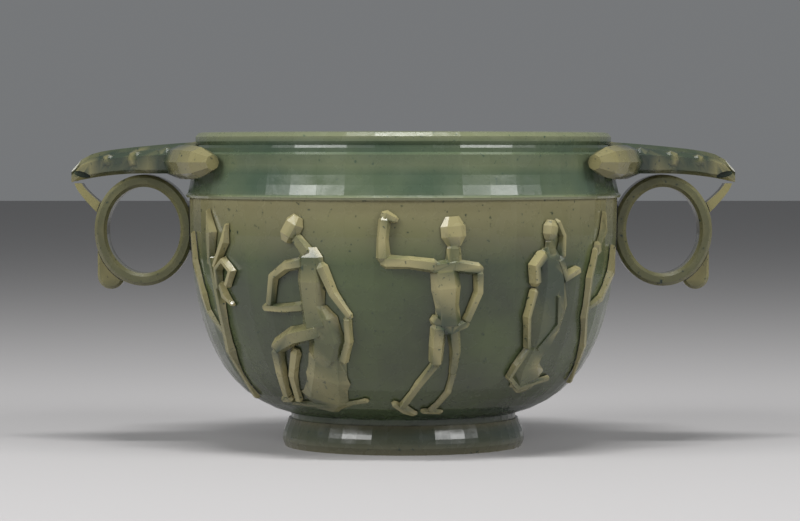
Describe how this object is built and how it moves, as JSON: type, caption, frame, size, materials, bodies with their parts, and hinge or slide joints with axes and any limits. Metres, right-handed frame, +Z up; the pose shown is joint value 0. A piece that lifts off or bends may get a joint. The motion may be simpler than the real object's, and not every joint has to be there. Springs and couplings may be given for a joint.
{
  "type": "two-handled cup",
  "caption": "Deep two-handled drinking cup of lead-glazed terracotta with ring handles, thumb plates and figures in relief.",
  "frame": {"origin": "centre of the foot's resting face, on the cup's turning axis", "axes": "+X along the two handles, +Z up out of the mouth, the figured front looks along -Y"},
  "size_m": [0.1736, 0.1159, 0.0819],
  "materials": {
    "wall_glaze": "gloss",
    "collar_glaze": "gloss",
    "foot_glaze": "satin",
    "handle_glaze": "gloss",
    "relief_glaze": "gloss"
  },
  "bodies": {
    "root": {"bowl": "wall_glaze", "rim_collar": "collar_glaze", "foot_ring": "foot_glaze", "handle_ring_right": "handle_glaze", "thumb_plate_right": "handle_glaze", "tip_strap_right": "handle_glaze", "handle_spur_right": "handle_glaze", "handle_ring_left": "handle_glaze", "thumb_plate_left": "handle_glaze", "tip_strap_left": "handle_glaze", "handle_spur_left": "handle_glaze", "vine_front": "relief_glaze", "seated_figure_front": "relief_glaze", "striding_figure_front": "relief_glaze", "draped_figure_front": "relief_glaze", "staff_front": "relief_glaze", "vine_back": "relief_glaze", "draped_figure_back": "relief_glaze", "striding_figure_back": "relief_glaze", "seated_figure_back": "relief_glaze", "staff_back": "relief_glaze"}
  },
  "joints": []
}
